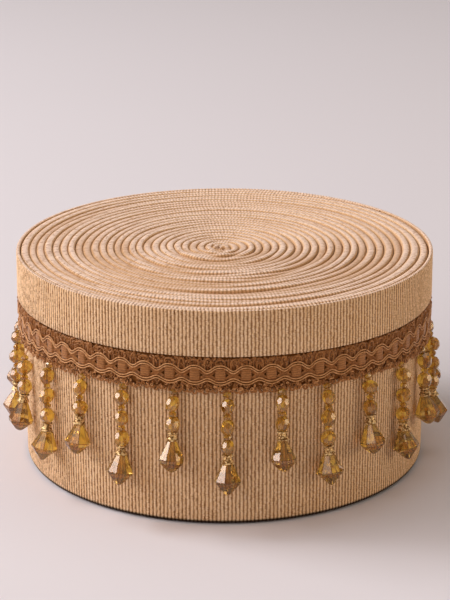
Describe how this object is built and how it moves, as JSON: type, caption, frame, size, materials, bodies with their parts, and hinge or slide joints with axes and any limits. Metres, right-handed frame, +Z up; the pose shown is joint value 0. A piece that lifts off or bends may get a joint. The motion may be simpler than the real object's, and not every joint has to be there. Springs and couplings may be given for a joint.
{
  "type": "roll of beaded fringe",
  "caption": "Wide roll of ribbed trimming tape wound in a flat spiral, ringed at its top by a plain band and a gimp braid from which strands of faceted glass beads and drops hang.",
  "frame": {"origin": "on the roll's axis, on the surface that the roll stands on", "axes": "+Z up along the roll's axis, -Y towards the front, +X to the right"},
  "size_m": [0.2545, 0.2545, 0.122],
  "materials": {
    "rep_tape": "matt beige rep tape with fine upright ribs",
    "gimp_yarn": "warm brown corded yarn with a soft silky sheen",
    "honey_glass": "clear honey-coloured faceted glass"
  },
  "bodies": {
    "root": {"wound_tape": "rep_tape", "outer_band": "rep_tape", "gimp_braid": "gimp_yarn", "bead_fringe": "honey_glass"}
  },
  "joints": []
}
